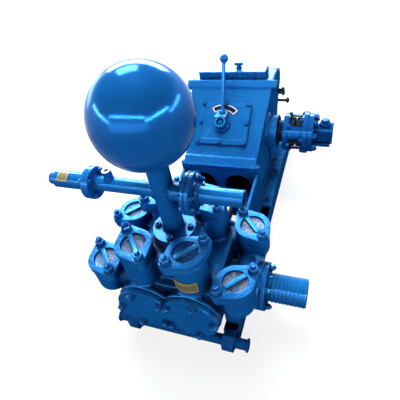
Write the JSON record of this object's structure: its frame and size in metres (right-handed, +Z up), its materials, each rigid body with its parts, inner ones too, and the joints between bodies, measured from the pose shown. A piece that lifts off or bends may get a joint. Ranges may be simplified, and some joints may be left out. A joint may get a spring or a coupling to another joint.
{
  "type": "piston mud pump",
  "caption": "Skid-mounted double-acting piston pump with valve pots, a ball air chamber, a sloping-faced gearbox with a shift lever, and a hydraulic motor drive.",
  "frame": {"origin": "on the ground under the air chamber's post, on the skid's front cross member", "axes": "+X towards the suction hose, +Y back to the gearbox, +Z up"},
  "size_m": [0.998, 1.5334, 1.173],
  "materials": {
    "blue_paint": "gloss",
    "dark_paint": "satin",
    "bright_steel": "satin"
  },
  "bodies": {
    "pump_frame": {"air_chamber": "blue_paint", "air_chamber_post": "blue_paint", "breather_plug": "blue_paint", "crank_cover_left": "blue_paint", "crank_cover_right": "blue_paint", "cylinder_head_left": "blue_paint", "cylinder_head_right": "blue_paint", "discharge_cover_back_left": "blue_paint", "discharge_cover_back_right": "blue_paint", "discharge_cover_front_left": "blue_paint", "discharge_cover_front_right": "blue_paint", "discharge_pipe": "blue_paint", "fluid_end_casting": "blue_paint", "front_cross_member": "blue_paint", "front_tow_bar": "blue_paint", "gearbox_casing": "blue_paint", "gearbox_lid": "blue_paint", "hydraulic_motor": "blue_paint", "input_shaft_cover": "blue_paint", "inspection_cover": "blue_paint", "middle_cross_member": "blue_paint", "motor_flange": "blue_paint", "motor_housing": "blue_paint", "motor_port_cap": "blue_paint", "rear_cross_member": "blue_paint", "rear_tow_bar": "blue_paint", "relief_branch": "blue_paint", "relief_valve": "blue_paint", "relief_valve_cap": "blue_paint", "rod_gland_left": "blue_paint", "rod_gland_right": "blue_paint", "shaft_coupling": "dark_paint", "skid_rail_left": "blue_paint", "skid_rail_right": "blue_paint", "suction_blank_cover": "blue_paint", "suction_cover_back_left": "blue_paint", "suction_cover_back_right": "blue_paint", "suction_cover_front_left": "blue_paint", "suction_cover_front_right": "blue_paint", "suction_nozzle": "blue_paint", "tie_plate_left": "blue_paint", "tie_plate_right": "blue_paint"},
    "piston_rod_left": {"piston_rod_left": "bright_steel"},
    "piston_rod_right": {"piston_rod_right": "bright_steel"},
    "shift_lever": {"shift_lever": "blue_paint", "shift_bracket": "blue_paint"}
  },
  "joints": [
    {"name": "shift_turn", "type": "hinge", "parent": "pump_frame", "child": "shift_lever", "pos_m": [-0.01, 0.68818, 0.54886], "axis": [0, -0.6157, 0.788], "range_deg": [-20, 20]},
    {"name": "rod_left_slide", "type": "slide", "parent": "pump_frame", "child": "piston_rod_left", "axis": [0, 1, 0], "range_m": [-0.055, 0.055]},
    {"name": "rod_right_slide", "type": "slide", "parent": "pump_frame", "child": "piston_rod_right", "axis": [0, 1, 0], "range_m": [-0.055, 0.055]}
  ]
}
